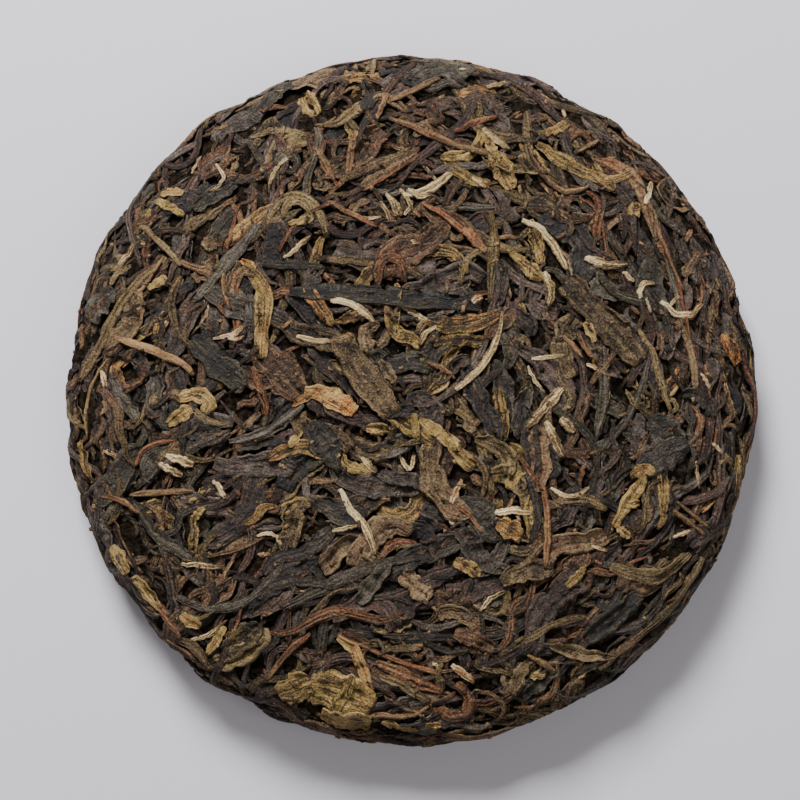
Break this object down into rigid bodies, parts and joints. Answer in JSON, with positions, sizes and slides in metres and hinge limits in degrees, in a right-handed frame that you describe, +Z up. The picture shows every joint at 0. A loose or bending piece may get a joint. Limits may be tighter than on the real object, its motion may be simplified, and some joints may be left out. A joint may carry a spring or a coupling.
{
  "type": "pressed pu-erh tea cake",
  "caption": "Small round cake of pressed raw pu-erh tea: a low rounded disc of tangled dark rolled leaves, brown stems, olive leaves and pale buds, with a knot dimple in its back.",
  "frame": {"origin": "on the surface that the cake lies on, under the middle of its box", "axes": "+Z up out of the rounded face, +Y towards the top of the face as pictured"},
  "size_m": [0.1044, 0.1051, 0.0174],
  "materials": {
    "dark_leaf": "matt",
    "brown_leaf": "matt",
    "olive_leaf": "matt",
    "stem": "matt",
    "bud": "matt"
  },
  "bodies": {
    "root": {"tea_cake": "dark_leaf"}
  },
  "joints": []
}
